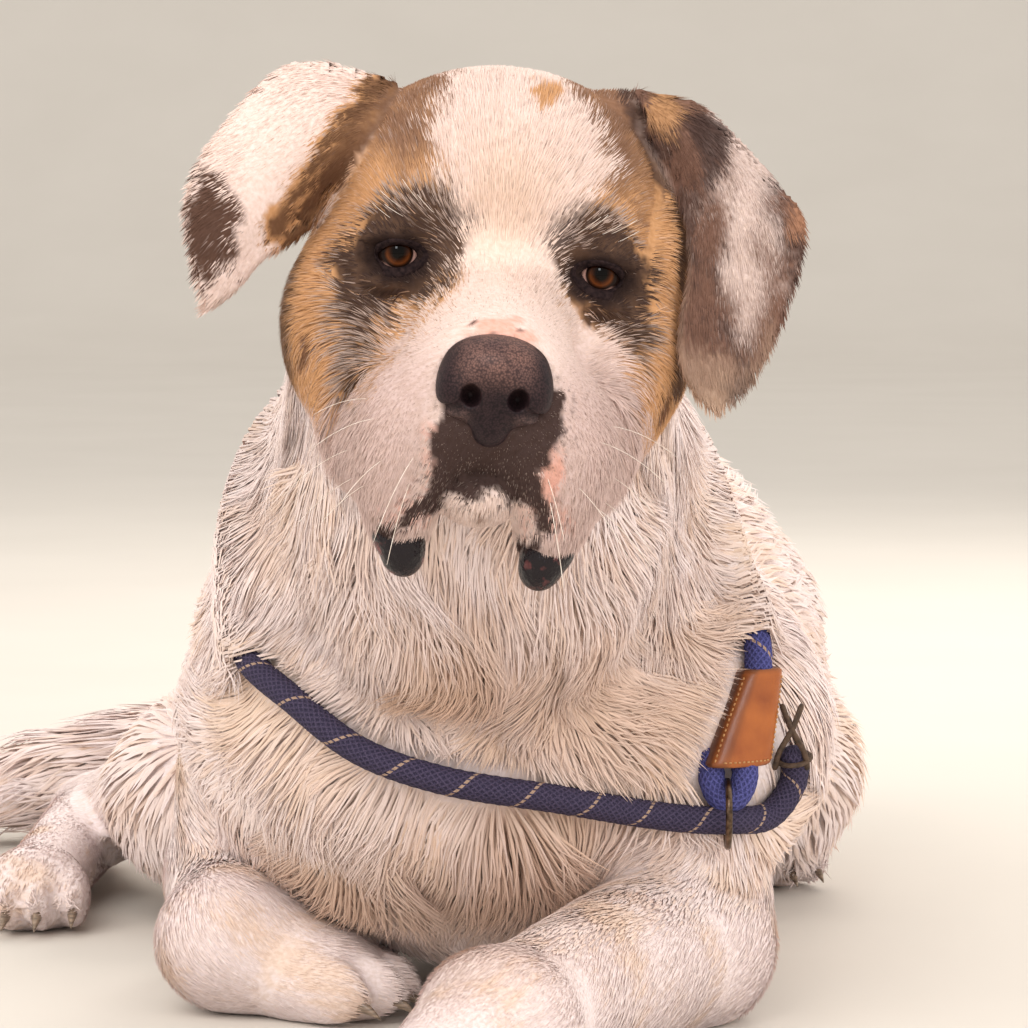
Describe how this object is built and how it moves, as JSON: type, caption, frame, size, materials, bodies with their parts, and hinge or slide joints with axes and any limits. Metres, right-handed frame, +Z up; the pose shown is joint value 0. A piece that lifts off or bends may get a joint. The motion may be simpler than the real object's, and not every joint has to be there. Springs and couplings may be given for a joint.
{
  "type": "saint bernard",
  "caption": "Life-size still model of a Saint Bernard lying with its head up, long white coat with a patched face, wearing a rope slip loop.",
  "frame": {"origin": "centre of the bounding box at floor level, under the dog's trunk", "axes": "+Z up, the dog faces -Y, its left side is +X, its body runs back along +Y"},
  "size_m": [0.748, 1.2572, 0.5594],
  "materials": {
    "white_coat": "long soft cream-white hair with beige shading",
    "face_coat": "short hair, white blaze between tan and grizzled dark patches",
    "brown_ear_coat": "short velvety hair, mottled grey-brown with a pale band",
    "pale_ear_coat": "short velvety hair, white with a grey-brown patch",
    "nose_leather": "pebbled damp nose skin",
    "lip_skin": "wet black lip skin",
    "eye": "wet amber-brown eye with a dark pupil",
    "rope_weave": "braided navy rope with sparse tan tracer stitches",
    "bright_rope_weave": "braided royal-blue rope",
    "tan_leather": "tan leather with stitched edges",
    "dark_metal": "thin tarnished metal ring",
    "dark_leather": "thin dark leather thong"
  },
  "bodies": {
    "root": {"head": "face_coat", "nose": "nose_leather", "lower_jaw": "face_coat", "lip_left": "lip_skin", "lip_right": "lip_skin", "eye_left": "eye", "eye_right": "eye", "ear_left": "brown_ear_coat", "ear_right": "pale_ear_coat", "neck": "white_coat", "torso": "white_coat", "foreleg_left": "white_coat", "forepaw_left": "white_coat", "foreleg_right": "white_coat", "forepaw_right": "white_coat", "thigh_left": "white_coat", "hindleg_left": "white_coat", "hindpaw_left": "white_coat", "thigh_right": "white_coat", "hindleg_right": "white_coat", "hindpaw_right": "white_coat", "tail_root": "white_coat", "tail_tip": "white_coat", "slip_loop_rope": "rope_weave", "slip_loop_splice": "bright_rope_weave", "slip_loop_sleeve": "tan_leather", "slip_loop_ring": "dark_metal", "slip_loop_thong": "dark_leather"}
  },
  "joints": []
}
